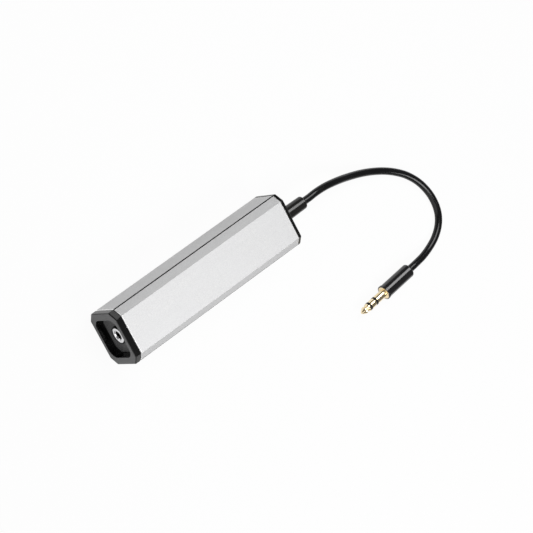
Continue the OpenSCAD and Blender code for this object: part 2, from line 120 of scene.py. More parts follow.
class Nodes:
    """A node tree, and the one method that adds nodes to it."""

    def __init__(self, tree):
        self.tree = tree

    def feed(self, socket, value):
        """Gives a socket a constant or a Value."""
        if isinstance(value, Value):
            self.tree.links.new(value.socket, socket)
        else:
            socket.default_value = value

    def add(self, kind, settings=None, inputs=(), output=0):
        """Adds a node of any kind; settings are made first, then sockets are filled."""
        node = self.tree.nodes.new(kind)
        for name, setting in (settings or {}).items():
            setattr(node, name, setting)
        filled = inputs.items() if isinstance(inputs, dict) else enumerate(inputs)
        for name, value in filled:
            self.feed(node.inputs[name], value)
        return Value(self, node.outputs[output]) if node.outputs else None


class Finish(Nodes):
    """A material with one Principled shader, and the nodes that vary it over a piece."""

    def __init__(self, name, colour, roughness, metallic=0.0, **constants):
        self.material = bpy.data.materials.new(name)
        self.material.use_nodes = True
        super().__init__(self.material.node_tree)
        self.shader = self.tree.nodes["Principled BSDF"]
        self.set("Base Color", (*colour, 1))
        self.set("Roughness", roughness)
        self.set("Metallic", metallic)
        for socket, value in constants.items():
            self.set(socket.replace("_", " "), value)

    def set(self, socket, value):
        """Gives one of the shader's sockets a constant or a Value."""
        self.feed(self.shader.inputs[socket], value)

    def place(self, turn=(0, 0, 0), middle=(0, 0, 0), stretch=(1, 1, 1)):
        """The piece's own coordinates in metres, moved, turned and stretched."""
        own = self.add("ShaderNodeTexCoord", output="Object")
        return self.add("ShaderNodeMapping", {"vector_type": "TEXTURE"}, {
            "Vector": own, "Location": middle, "Rotation": turn,
            "Scale": tuple(1 / s for s in stretch)})

    def axis(self, place, letter):
        return self.add("ShaderNodeSeparateXYZ", None, [place], output=letter)

    def noise(self, place, per_metre, detail=3, rough=0.55):
        return self.add("ShaderNodeTexNoise", None, {
            "Vector": place, "Scale": per_metre, "Detail": detail, "Roughness": rough})

    def ease(self, value, start, end, low=0.0, high=1.0):
        """Goes smoothly from low to high as value goes from start to end."""
        return self.add("ShaderNodeMapRange", {"interpolation_type": "SMOOTHSTEP"}, {
            "Value": value, "From Min": start, "From Max": end, "To Min": low, "To Max": high})

    def tint(self, share, first, second):
        """Goes from the first colour to the second."""
        first, second = [c if isinstance(c, Value) else (*c, 1) for c in (first, second)]
        return self.add("ShaderNodeMix", {"data_type": "RGBA"}, {0: share, 6: first, 7: second}, 2)

    def bump(self, height, distance, strength=1.0):
        self.set("Normal", self.add("ShaderNodeBump", None, {
            "Height": height, "Distance": distance, "Strength": strength}))


def studio_floor_finish():
    """White to the camera and in reflections, with the object's soft shadow kept."""
    made = Finish("studio_floor", (0.62, 0.62, 0.62), 0.9, Specular_IOR_Level=0.1)
    path = made.add("ShaderNodeLightPath", output="Is Camera Ray")
    glossy = made.add("ShaderNodeLightPath", output="Is Glossy Ray")
    through = made.add("ShaderNodeLightPath", output="Is Transmission Ray")
    white = made.add("ShaderNodeEmission", None, {"Color": (1, 1, 1, 1), "Strength": 1.0})
    grain = made.noise(made.place(), 9, 2)
    made.set("Roughness", 0.85 + grain * 0.1)
    shown = path * 0.95 + glossy * 0.6 + through * 0.95
    lit = Value(made, made.shader.outputs[0])
    out = made.tree.nodes["Material Output"].inputs["Surface"]
    made.feed(out, made.add("ShaderNodeMixShader", None, [shown, lit, white]))
    return made


def blasted_aluminium():
    """Bead-blasted, clear anodised extrusion: fine sparkle, bare sawn ends painted bright as a
    highlight, painted groove shade.
    """
    made = Finish("blasted_aluminium", (0.64, 0.64, 0.645), 0.5, 1.0)
    place = made.place()
    x, y, z = (made.axis(place, letter) for letter in "XYZ")
    beads = made.noise(place, 3400, 2, 0.6)
    cloud = made.noise(place, 55, 3)
    drawn = made.noise(made.place(stretch=(0.04, 1, 1)), 900, 2)
    tone = made.tint(made.ease(beads, 0.3, 0.7), (0.58, 0.58, 0.585), (0.69, 0.69, 0.69))
    tone = made.tint(made.ease(cloud, 0.35, 0.7, 0, 0.35), tone, (0.64, 0.642, 0.65))
    tone = made.tint(made.ease(drawn, 0.3, 0.75, 0, 0.12), tone, (0.54, 0.54, 0.545))
    # Sawn ends: the bare cut metal is lighter, and its near-white colour is also a painted highlight
    # along the edge.
    sawn_end_and_highlight = made.ease(abs(x - 0.75 * MM), 43.3 * MM, 43.5 * MM)
    tone = made.tint(sawn_end_and_highlight, tone, (0.95, 0.95, 0.95))
    # Painted shade: a near-black line along each hairline groove, where shade falls in the crease.
    off_y = abs(y) - 11.5 * MM
    off_z = z - 16.4 * MM
    line = made.ease((off_y * off_y + off_z * off_z) ** 0.5, 0.33 * MM, 0.45 * MM, 1, 0)
    tone = made.tint(line, tone, (0.01, 0.01, 0.01))
    made.set("Base Color", tone)
    made.set("Roughness", 0.58 + beads * 0.14 - sawn_end_and_highlight * 0.25 + line * 0.2)
    made.bump(beads + cloud * 0.4, 0.02 * MM, 0.5)
    return made


def moulded_plastic():
    """Black caps: spark-eroded grain on the faces square to the tube, painted far lighter there as
    lit faces; polished sides.
    """
    made = Finish("moulded_plastic", (0.006, 0.006, 0.006), 0.3, Specular_IOR_Level=0.3)
    place = made.place()
    facing = made.axis(made.add("ShaderNodeTexCoord", output="Normal"), "X")
    grained_lit_share = made.ease(abs(facing), 0.75, 0.97)
    grain = made.noise(place, 5200, 2, 0.5)
    flow = made.noise(place, 160, 3)
    polished = made.tint(flow, (0.003, 0.003, 0.003), (0.006, 0.006, 0.006))
    # Painted light: the faces square to the tube get a grey many times lighter than the black sides,
    # standing in for the light they catch; the grain's roughness and bump are real.
    eroded_lit_tone = made.tint(grain, (0.09, 0.09, 0.09), (0.133, 0.133, 0.135))
    made.set("Base Color", made.tint(grained_lit_share, polished, eroded_lit_tone))
    made.set("Roughness", 0.13 + flow * 0.05 + grained_lit_share * (0.16 + grain * 0.1))
    made.bump(grain * grained_lit_share, 0.004 * MM, 0.4)
    return made


def moulded_rubber():
    """The strain relief's soft black rubber, faintly mottled."""
    made = Finish("moulded_rubber", (0.006, 0.006, 0.006), 0.34)
    place = made.place()
    mottle = made.noise(place, 420, 3)
    skin = made.noise(place, 6000, 2)
    made.set("Base Color", made.tint(mottle, (0.004, 0.004, 0.004), (0.010, 0.009, 0.008)))
    made.set("Roughness", 0.15 + mottle * 0.06)
    made.bump(skin + mottle * 0.5, 0.002 * MM, 0.2)
    return made


def cord_jacket_finish():
    """Smooth extruded jacket with a faint skin and the odd scuff."""
    made = Finish("cord_jacket", (0.012, 0.012, 0.013), 0.38, Specular_IOR_Level=0.35)
    place = made.place()
    skin = made.noise(place, 6000, 2)
    scuff = made.ease(made.noise(place, 120, 4, 0.7), 0.52, 0.74)
    made.set("Base Color", made.tint(scuff, (0.0025, 0.0025, 0.003), (0.006, 0.006, 0.0065)))
    made.set("Roughness", 0.2 + scuff * 0.08)
    made.bump(skin, 0.002 * MM, 0.15)
    return made


def jack_plastic_finish():
    """Glossy black insulation of the jack and of the plug's bands."""
    made = Finish("jack_plastic", (0.008, 0.008, 0.008), 0.45, Specular_IOR_Level=0.2)
    flow = made.noise(made.place(), 700, 3)
    made.set("Base Color", made.tint(flow, (0.003, 0.003, 0.003), (0.008, 0.008, 0.008)))
    made.set("Roughness", 0.4 + flow * 0.15)
    made.bump(flow, 0.002 * MM, 0.3)
    return made


def turned_metal(name, light, dark, rough, middle, turn, along):
    """Polished plating over fine tool marks, which ring the axis or run across the face."""
    made = Finish(name, light, rough, 1.0)
    place = made.place(turn, middle)
    y, z = made.axis(place, "Y"), made.axis(place, "Z")
    station = made.axis(place, "X") if along else (y * y + z * z) ** 0.5
    marks = made.add("ShaderNodeTexNoise", {"noise_dimensions": "1D"}, {
        "W": station, "Scale": 4200, "Detail": 3, "Roughness": 0.6})
    cloud = made.noise(place, 900, 3)
    made.set("Base Color", made.tint(made.ease(cloud, 0.3, 0.75, 0, 0.5), light, dark))
    made.set("Roughness", rough + marks * 0.04 + cloud * 0.02)
    made.bump(marks, 0.0004 * MM, 0.06)
    return made


def grip_lacquer():
    """Gloss black lacquer over the plug's turned grip, with orange peel."""
    made = Finish("grip_lacquer", (0.006, 0.006, 0.007), 0.16, 0.0, Coat_Roughness=0.06)
    place = made.place()
    peel = made.noise(place, 1500, 2)
    wear = made.ease(made.noise(place, 260, 4, 0.7), 0.5, 0.8)
    made.set("Base Color", made.tint(wear, (0.004, 0.004, 0.0045), (0.012, 0.012, 0.013)))
    made.set("Roughness", 0.14 + wear * 0.08)
    made.set("Coat Weight", 0.35 + wear * 0.1)
    made.bump(peel, 0.002 * MM, 0.12)
    return made


def sheet_brass():
    """Rolled brass strip and tinned pins inside the jack and the transformers."""
    made = Finish("sheet_brass", (0.72, 0.55, 0.28), 0.3, 1.0)
    place = made.place(stretch=(0.2, 1, 1))
    rolled = made.noise(place, 5000, 3)
    tarnish = made.ease(made.noise(made.place(), 500, 4), 0.45, 0.75, 0, 0.7)
    made.set("Base Color", made.tint(tarnish, (0.78, 0.62, 0.34), (0.45, 0.30, 0.14)))
    made.set("Roughness", 0.24 + rolled * 0.16 + tarnish * 0.1)
    made.bump(rolled, 0.004 * MM, 0.5)
    return made


def board_laminate():
    """Green solder mask over copper tracks, with the glass weave faintly showing."""
    made = Finish("board_laminate", (0.02, 0.13, 0.05), 0.3)
    place = made.place()
    x, y = made.axis(place, "X"), made.axis(place, "Y")
    wander = made.noise(made.place(stretch=(0.5, 1, 1)), 90, 1)
    lane = made.add("ShaderNodeMath", {"operation": "PINGPONG"}, [y + wander * 1.2 * MM, 1.1 * MM])
    track = made.ease(lane, 0.5 * MM, 0.62 * MM)
    weave = made.add("ShaderNodeTexWave", {"bands_direction": "DIAGONAL"}, {
        "Vector": place, "Scale": 900, "Distortion": 2.0})
    mask = made.tint(track, (0.010, 0.085, 0.030), (0.020, 0.17, 0.060))
    made.set("Base Color", made.tint(weave * 0.25, mask, (0.05, 0.19, 0.09)))
    made.set("Roughness", 0.26 + weave * 0.1)
    made.bump(track + weave * 0.3, 0.03 * MM, 0.6)
    return made


def core_iron():
    """Stacked transformer plates: dark scale on the faces, with fine dark gaps."""
    made = Finish("core_iron", (0.13, 0.13, 0.14), 0.5, 0.8)
    place = made.place()
    z = made.axis(place, "Z")
    gap = made.add("ShaderNodeMath", {"operation": "PINGPONG"}, [z, 0.175 * MM])
    sheet = made.ease(gap, 0.0, 0.05 * MM)
    scale = made.noise(place, 700, 4)
    tone = made.tint(scale, (0.10, 0.10, 0.11), (0.22, 0.21, 0.21))
    made.set("Base Color", made.tint(sheet, (0.02, 0.02, 0.02), tone))
    made.set("Roughness", 0.42 + scale * 0.2)
    made.bump(sheet + scale * 0.3, 0.03 * MM, 0.8)
    return made


def bobbin_plastic():
    """Ivory nylon with flow marks from the mould."""
    made = Finish("bobbin_plastic", (0.72, 0.68, 0.56), 0.45)
    place = made.place()
    flow = made.noise(made.place(stretch=(1, 0.3, 1)), 300, 4)
    made.set("Base Color", made.tint(flow, (0.66, 0.61, 0.48), (0.78, 0.75, 0.64)))
    made.set("Roughness", 0.36 + flow * 0.2)
    made.bump(made.noise(place, 3000, 2), 0.01 * MM, 0.5)
    return made


def winding_copper():
    """Enamelled copper turns that show as ridges under yellow tape, with painted shade in the
    creases between them.
    """
    made = Finish("winding_copper", (0.72, 0.46, 0.08), 0.34)
    place = made.place()
    x = made.axis(place, "X")
    turn = made.add("ShaderNodeMath", {"operation": "PINGPONG"}, [x, 0.09 * MM])
    # Painted shade: the creases between turns are coloured dark; the ridges themselves come from the
    # bump.
    ridge_and_crease_shade = made.ease(turn, 0.01 * MM, 0.09 * MM)
    patch = made.noise(place, 260, 3)
    tape = made.tint(patch, (0.62, 0.36, 0.05), (0.80, 0.56, 0.12))
    made.set("Base Color", made.tint(ridge_and_crease_shade, (0.30, 0.11, 0.03), tape))
    made.set("Roughness", 0.26 + patch * 0.18)
    made.bump(ridge_and_crease_shade + patch * 0.3, 0.05 * MM, 0.7)
    return made


def wire_jacket(name, light, dark):
    """Thin insulation of an inner wire, with a faint wrinkle along it."""
    made = Finish(name, light, 0.35)
    skin = made.noise(made.place(stretch=(0.4, 1, 1)), 1800, 3)
    made.set("Base Color", made.tint(skin, dark, light))
    made.set("Roughness", 0.3 + skin * 0.15)
    made.bump(skin, 0.01 * MM, 0.4)
    return made


# --- shaping ---

def eased(corners, radii, steps=4, closed=False):
    """A line through corners, each rounded off with its own radius."""
    count = len(corners)
    radii = radii if isinstance(radii, (list, tuple)) else [radii] * count
    line = []
    for i, (corner, radius) in enumerate(zip(corners, radii)):
        here = Vector(corner)
        if not closed and i in (0, count - 1) or radius == 0:
            line.append(here)
            continue
        back = (Vector(corners[i - 1]) - here).normalized()
        on = (Vector(corners[(i + 1) % count]) - here).normalized()
        half = back.angle(on) / 2
        reach = radius / math.tan(half)
        middle = here + (back + on).normalized() * (radius / math.sin(half))
        start, end = here + back * reach - middle, here + on * reach - middle
        sweep = math.pi - 2 * half
        for k in range(steps + 1):
            share = k / steps
            line.append(middle + (start * math.sin((1 - share) * sweep)
                                  + end * math.sin(share * sweep)) / math.sin(sweep))
    return line


def faces_between(rings, joined):
    """Quads between rings of the same count, in a loop if joined."""
    count = len(rings[0])
    last = len(rings) if joined else len(rings) - 1
    quads = []
    for i in range(last):
        low, high = i * count, (i + 1) % len(rings) * count
        for k in range(count):
            nxt = (k + 1) % count
            quads.append((low + k, low + nxt, high + nxt, high + k))
    return quads


def closed_mesh(name, finish, points, faces):
    """A mesh of points with their doubles merged and its faces turned outwards."""
    mesh = bpy.data.meshes.new(name)
    mesh.from_pydata([tuple(p) for p in points], [], faces)
    work = bmesh.new()
    work.from_mesh(mesh)
    bmesh.ops.remove_doubles(work, verts=work.verts, dist=1e-7)
    bmesh.ops.recalc_face_normals(work, faces=work.faces)
    work.to_mesh(mesh)
    work.free()
    mesh.materials.append(finish.material)
    return mesh


def settle(made, node):
    """Lets a piece ride on the root body in the place of a CAD node."""
    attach(made, "root")
    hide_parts(node)
    return made


def piece(name, finish, points, faces, node, slot):
    """A closed smooth mesh with its place in its points, which stands for a CAD node."""
    mesh = closed_mesh(name, finish, points, faces)
    mesh.shade_smooth()
    mesh.set_sharp_from_angle(angle=math.radians(50))
    made = bpy.data.objects.new(name, mesh)
    scene.collection.objects.link(made)
    even = made.modifiers.new("even_normals", "WEIGHTED_NORMAL")
    even.mode = "FACE_AREA"
    even.weight = 100
    even.keep_sharp = True
    return settle(made, node)


class Repeat(Nodes):
    """A Geometry Nodes tree with named inputs, whose result becomes a plain mesh."""

    KINDS = {int: "NodeSocketInt", float: "NodeSocketFloat", Vector: "NodeSocketVector"}

    def __init__(self, name, finish, **sizes):
        super().__init__(bpy.data.node_groups.new(name, "GeometryNodeTree"))
        self.name = name
        self.sizes = {"Finish": finish.material, **sizes}
        face = self.tree.interface
        face.new_socket("Body", in_out="INPUT", socket_type="NodeSocketGeometry")
        for size, value in self.sizes.items():
            kind = self.KINDS.get(type(value), "NodeSocketMaterial")
            face.new_socket(size, in_out="INPUT", socket_type=kind)
        face.new_socket("Geometry", in_out="OUTPUT", socket_type="NodeSocketGeometry")
        self.group = self.tree.nodes.new("NodeGroupInput")

    def given(self, name):
        return Value(self, self.group.outputs[name])

    def vector(self, x=0.0, y=0.0, z=0.0):
        return self.add("ShaderNodeCombineXYZ", None, [x, y, z])

    def row(self, shape, count, start, step):
        """Copies of a shape, one at each point of a straight row."""
        points = self.add("GeometryNodeMeshLine", {"mode": "OFFSET"}, {
            "Count": count, "Start Location": start, "Offset": step})
        return self.add("GeometryNodeInstanceOnPoints", None, {
            "Points": points, "Instance": shape})

    def make(self, body, geometry):
        """Ends the tree, runs it on a body mesh and keeps what it makes as a plain mesh."""
        whole = self.add("GeometryNodeRealizeInstances", None, [geometry])
        dressed = self.add("GeometryNodeSetMaterial", None, {
            "Geometry": whole, "Material": self.given("Finish")})
        self.add("NodeGroupOutput", None, [dressed])
        made = bpy.data.objects.new(self.name, body)
        scene.collection.objects.link(made)
        repeat = made.modifiers.new("repeat", "NODES")
        repeat.node_group = self.tree
        for item in self.tree.interface.items_tree:
            if item.in_out == "INPUT" and item.name in self.sizes:
                repeat[item.identifier] = self.sizes[item.name]
        ready = made.evaluated_get(bpy.context.evaluated_depsgraph_get())
        plain = bpy.data.meshes.new_from_object(ready)
        made.modifiers.clear()
        made.data = plain
        return made


def turned(profile, origin, axis, sides=96):
    """Points and faces of a profile of (radius, station) turned about an axis, poles closed."""
    axis = Vector(axis).normalized()
    side = axis.cross(Vector((0, 0, 1))).normalized()
    up = side.cross(axis)
    rings = []
    for radius, station in profile:
        middle = Vector(origin) + axis * station
        rings.append([middle + (side * math.cos(a) + up * math.sin(a)) * max(radius, 0.0)
                      for a in (2 * math.pi * k / sides for k in range(sides))])
    points = [p for ring in rings for p in ring]
    return points, faces_between(rings, joined=profile[0][0] > 0)


# --- the tube and its caps ---

TUBE_W, TUBE_T, CHAMFER, WALL = 23 * MM, 19.5 * MM, 3.1 * MM, 1.3 * MM
AXIS_Z = TUBE_T / 2
TUBE_X0, TUBE_X1 = -43 * MM, 44.5 * MM
FRONT_X, REAR_X = -46 * MM, 46 * MM
STEPS = 4


def octagon(width, height, chamfer, radius, groove=0.0):
    """The tube's outline across the axis as (y, z), with eased corners and side grooves."""
    w, t, c = width / 2, height / 2, chamfer
    corners = [(w, c - t), (w, t - c), (w - c, t), (c - w, t),
               (-w, t - c), (-w, c - t), (c - w, -t), (w - c, -t)]
    line = eased(corners, radius, STEPS, closed=True)
    if groove:
        for corner in (1, 4):
            here = Vector(corners[corner])
            back = (Vector(corners[corner - 1]) - here).normalized()
            on = (Vector(corners[(corner + 1) % 8]) - here).normalized()
            inward = (back + on).normalized()
            lips = [here + back * groove, here + back * groove * 0.72 + inward * groove * 0.55,
                    here + inward * groove * 1.25,
                    here + on * groove * 0.72 + inward * groove * 0.55, here + on * groove]
            line[corner * (STEPS + 1):(corner + 1) * (STEPS + 1)] = lips
    return line


def tube_ring(inset=0.0, radius=0.12 * MM, groove=0.0):
    """The tube's outline, drawn in all round by an inset."""
    cut = CHAMFER - inset * (2 - math.sqrt(2))
    return octagon(TUBE_W - 2 * inset, TUBE_T - 2 * inset, cut, radius, groove)


def round_ring(radius, count):
    """A circle with as many points as an outline, starting near its first corner."""
    start = math.atan2(CHAMFER - TUBE_T / 2, TUBE_W / 2)
    return [Vector((radius * math.cos(start + 2 * math.pi * k / count),
                    radius * math.sin(start + 2 * math.pi * k / count))) for k in range(count)]


def lofted(sections):
    """Points and faces of a closed ring of sections, each a station along X and an outline."""
    rings = [[(x, y, AXIS_Z + z) for y, z in outline] for x, outline in sections]
    return [p for ring in rings for p in ring], faces_between(rings, joined=True)


def edge_roll(x, way, radius, steps=4):
    """Stations and insets of an edge that rolls over from the sides to an end face at x."""
    turns = [math.pi / 2 * k / steps for k in range(steps + 1)]
    return [(x - way * radius * (1 - math.sin(a)), radius * (1 - math.cos(a))) for a in turns]


def tube(finish):
    groove = 0.3 * MM
    inner = (WALL, 0.3 * MM)
    sections = [(x, tube_ring(inset, groove=groove)) for x, inset in
                edge_roll(TUBE_X0, -1, 0.25 * MM, 3)[::-1]]
    sections += [(x, tube_ring(inset, groove=groove)) for x, inset in
                 edge_roll(TUBE_X1, 1, 0.25 * MM, 3)]
    sections += [(TUBE_X1, tube_ring(*inner)), (TUBE_X0, tube_ring(*inner))]
    return piece("tube", finish, *lofted(sections), "shell", slot="anodised_tube")


def front_cap(finish):
    floor_x, floor_back = -42.2 * MM, -40.7 * MM
    rim_x = -43.4 * MM
    plug = WALL + 0.1 * MM
    pocket = [octagon(16.8 * MM - 2 * s * MM, 15.6 * MM - 2 * s * MM, (2.4 - 0.59 * s) * MM,
                      (2.9 - s) * MM) for s in (-0.12, 0.0, 0.1, 0.22, 0.4, 0.75)]
    count = len(pocket[0])
    sections = [(-37 * MM, tube_ring(plug)), (TUBE_X0, tube_ring(plug)),
                (TUBE_X0, tube_ring(0.35 * MM)), (rim_x, tube_ring(0.35 * MM)),
                (rim_x, tube_ring(0.1 * MM)), (rim_x - 0.1 * MM, tube_ring())]
    sections += [(x, tube_ring(inset, 0.45 * MM)) for x, inset in
                 edge_roll(FRONT_X, -1, 0.5 * MM)]
    sections += [(FRONT_X, pocket[0]), (FRONT_X + 0.04 * MM, pocket[1]),
                 (FRONT_X + 0.2 * MM, pocket[2]), (floor_x - 0.5 * MM, pocket[3]),
                 (floor_x - 0.12 * MM, pocket[4]), (floor_x, pocket[5])]
    sections += [(floor_x, round_ring(3.95 * MM, count)), (floor_back, round_ring(3.95 * MM, count)),
                 (floor_back, tube_ring(plug + 1.2 * MM)), (-37 * MM, tube_ring(plug + 1.2 * MM))]
    return piece("front_cap_moulding", finish, *lofted(sections), "front_cap", slot="cap_plastic")


def rear_cap(finish):
    plug = WALL + 0.1 * MM
    count = len(tube_ring())
    sections = [(39.5 * MM, tube_ring(plug)), (TUBE_X1, tube_ring(plug)),
                (TUBE_X1, tube_ring(0.08 * MM)), (TUBE_X1 + 0.08 * MM, tube_ring())]
    sections += [(x, tube_ring(inset, 0.45 * MM)) for x, inset in edge_roll(REAR_X, 1, 0.5 * MM)]
    sections += [(REAR_X, round_ring(2.35 * MM, count)), (43.7 * MM, round_ring(2.35 * MM, count)),
                 (43.7 * MM, tube_ring(plug + 1.2 * MM)), (39.5 * MM, tube_ring(plug + 1.2 * MM))]
    return piece("rear_cap_moulding", finish, *lofted(sections), "rear_cap", slot="cap_plastic")


def millimetres(profile):
    return [(radius * MM, station * MM) for radius, station in profile]


# --- the jack ---

def jack_housing(finish):
    """The round nose with its bored seat, and the box behind the cap's floor."""
    nose = eased([(3.35, 0), (3.8, 0), (3.8, 2.7), (3.4, 2.7), (3.4, 1.2), (3.35, 0.6)],
                 [0.05, 0.16, 0, 0, 0, 0], closed=True)
    nose = millimetres(nose)
    points, faces = turned(nose, (-43.4 * MM, 0, AXIS_Z), (1, 0, 0))
    low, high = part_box("jack_housing")
    work = bmesh.new()
    bmesh.ops.create_cube(work, size=1)
    box_x = (-40.7 * MM, high.x)
    for v in work.verts:
        v.co = Vector((box_x[v.co.x > 0], low.y if v.co.y < 0 else high.y,
                       low.z if v.co.z < 0 else high.z))
    hollow = [f for f in work.faces if f.normal.x < -0.5]
    rim = bmesh.ops.inset_region(work, faces=hollow, thickness=0.9 * MM)
    bmesh.ops.translate(work, verts=hollow[0].verts[:], vec=(9 * MM, 0, 0))
    base = len(points)
    points += [v.co.copy() for v in work.verts]
    faces += [tuple(base + v.index for v in f.verts) for f in work.faces]
    work.free()
    return piece("jack_body", finish, points, faces, "jack_housing", slot="jack_plastic")


def jack_ring(finish):
    """The bright bushing: a flat polished face, a flared mouth and the plug's bore."""
    profile = eased([(1.8, 5), (1.8, 0.55), (2.15, 0), (3.3, 0), (3.3, 3.4), (2.6, 3.4), (2.6, 5)],
                    [0.05, 0.3, 0.12, 0.14, 0.05, 0.05, 0.05], closed=True)
    points, faces = turned(millimetres(profile), (-43.4 * MM, 0, AXIS_Z), (1, 0, 0), 128)
    return piece("jack_ring", finish, points, faces, "jack_bushing", slot="nickel_plate")


# --- the strain relief, the cord and the plug ---

def strain_relief(finish):
    profile = eased([(0, 14), (2.8, 14), (3.05, 0), (2.3, 0), (2.3, -2.3), (3.5, -2.3),
                     (3.5, -3.5), (0, -3.5)], [0, 0.6, 0.12, 0, 0, 0.1, 0.1, 0], 6)
    points, faces = turned(millimetres(profile), (REAR_X, 0, AXIS_Z), (1, 0, 0), 96)
    return piece("strain_relief_boot", finish, points, faces, "strain_relief",
                 slot="moulded_rubber")


YAW = math.radians(4.6)
GRIP_BACK_WAY = Vector((math.cos(YAW), math.sin(YAW), 0))
GRIP_FRONT = Vector((79.5, -54.9, 3.25)) * MM
GRIP_BACK = GRIP_FRONT + GRIP_BACK_WAY * 16.5 * MM
CORD_D = 3.2 * MM
ROUTE = [Vector(p) * MM for p in (
    (60, 0, 9.75), (62, 0, 9.75), (64, 0, 9.75), (68, 0.1, 9.6), (74, -0.45, 8.8),
    (81.4, -2, 7.2), (88.8, -4.1, 5.1), (96, -6.5, 3.5), (102.4, -9.15, 2.35),
    (108.3, -12.2, 1.85), (113.3, -15.6, 1.7), (117.9, -19.8, 1.7), (121.8, -25.4, 1.7),
    (124.1, -31.8, 1.7), (124.5, -37.7, 1.7), (123.3, -42.6, 1.7), (120.5, -46.6, 1.7),
    (116.3, -49.7, 1.75), (111.3, -51.7, 1.95), (105.9, -52.8, 2.6))]
ROUTE += [GRIP_BACK + GRIP_BACK_WAY * reach * MM for reach in (4, 2, 0)]


def smooth_route(points, steps):
    """Points on a smooth curve through the route's points."""
    ends = [2 * points[0] - points[1], *points, 2 * points[-1] - points[-2]]
    line = []
    for a, b, c, d in zip(ends, ends[1:], ends[2:], ends[3:]):
        for k in range(steps):
            t = k / steps
            line.append((2 * b + (c - a) * t + (2 * a - 5 * b + 4 * c - d) * t * t
                         + (3 * b - a - 3 * c + d) * t ** 3) / 2)
    return [*line, points[-1]]


def cord(finish):
    line = smooth_route(ROUTE, 7)
    curve = bpy.data.curves.new("cord_jacket", "CURVE")
    curve.dimensions = "3D"
    curve.bevel_depth = CORD_D / 2
    curve.bevel_resolution = 7
    curve.use_fill_caps = True
    spline = curve.splines.new("POLY")
    spline.points.add(len(line) - 1)
    for point, place in zip(spline.points, line):
        point.co = (*place, 1)
    spline.use_smooth = True
    curve.materials.append(finish.material)
    made = bpy.data.objects.new("cord_jacket", curve)
    scene.collection.objects.link(made)
    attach(made, "root")
    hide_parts("cord")
    length = sum((b - a).length for a, b in zip(line, line[1:]))
    return made, length


def plug_piece(name, finish, profile, radii, node, slot, sides=96):
    """A turned piece of the plug; stations run along the pin from the grip's front face."""
    points, faces = turned(millimetres(eased(profile, radii, 4)), GRIP_FRONT,
                           -GRIP_BACK_WAY, sides)
    return piece(name, finish, points, faces, node, slot=slot)


def plug(lacquer, gold, insulation):
    """The grip with its rim and collar, and the pin's contacts and bands."""
    return [
        plug_piece("plug_grip_body", lacquer,
                   [(0, 0.1), (3.25, 0.1), (3.25, -0.9), (3.05, -1.02), (3.05, -16.5), (0, -16.5)],
                   [0, 0.12, 0.12, 0.1, 0.75, 0], "plug_grip", "grip_black"),
        plug_piece("plug_collar_and_sleeve", gold,
                   [(0, -0.3), (2.8, -0.3), (2.8, 0.2), (1.75, 0.2), (1.75, 5.6), (0, 5.6)],
                   [0, 0.05, 0.06, 0.1, 0.07, 0], "plug_sleeve", "gold_plate"),
        plug_piece("plug_rear_band", insulation,
                   [(0, 5.55), (1.84, 5.55), (1.84, 6.55), (0, 6.55)], [0, 0.08, 0.08, 0],
                   "plug_rear_insulator", "jack_plastic"),
        plug_piece("plug_ring", gold,
                   [(0, 6.5), (1.75, 6.5), (1.75, 9.3), (0, 9.3)], [0, 0.07, 0.07, 0],
                   "plug_ring_contact", "gold_plate"),
        plug_piece("plug_front_band", insulation,
                   [(0, 9.25), (1.84, 9.25), (1.84, 10.25), (0, 10.25)], [0, 0.08, 0.08, 0],
                   "plug_front_insulator", "jack_plastic"),
        plug_piece("plug_tip", gold,
                   [(0, 10.2), (1.75, 10.2), (1.75, 10.85), (1.22, 11.35), (1.22, 11.6),
                    (1.62, 12.4), (1.5, 12.9), (0.42, 14.6), (0, 14.6)],
                   [0, 0.07, 0.15, 0.12, 0.12, 0.4, 0.6, 0.25, 0], "plug_tip_contact",
                   "gold_plate"),
    ]


# --- the transformers ---

LIMB, LEG = 2.2 * MM, 4 * MM
PLATE, PLATES = 0.32 * MM, 14
WIRE, SLEEVE = 0.17 * MM, 0.85 * MM


def core_plates(node, finish):
    """A core as a stack of thin plates, each with its two windows."""
    low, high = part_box(node)
    xs = [low.x, low.x + LIMB, high.x - LIMB, high.x]
    mid = (low.y + high.y) / 2
    ys = [low.y, low.y + LIMB, mid - LEG / 2, mid + LEG / 2, high.y - LIMB, high.y]
    points = [(x, y, low.z + z) for z in (0, PLATE) for x in xs for y in ys]
    solid = {(a, b) for a in range(3) for b in range(5)} - {(1, 1), (1, 3)}
    faces = []
    for a, b in solid:
        ring = [a * 6 + b, a * 6 + b + 1, (a + 1) * 6 + b + 1, (a + 1) * 6 + b]
        faces += [tuple(ring), tuple(24 + k for k in ring)]
        beside = [(a - 1, b), (a, b + 1), (a + 1, b), (a, b - 1)]
        for k, cell in enumerate(beside):
            if cell not in solid:
                p, q = ring[k], ring[(k + 1) % 4]
                faces.append((p, q, q + 24, p + 24))
    step = (high.z - low.z - PLATE) / (PLATES - 1)
    stack = Repeat(f"{node}_plates", finish, Plates=PLATES, Step=step)
    rise = stack.vector(z=stack.given("Step"))
    plates = stack.row(stack.given("Body"), stack.given("Plates"), Vector((0, 0, 0)), rise)
    made = stack.make(closed_mesh(node, finish, points, faces), plates)
    return settle(made, node)


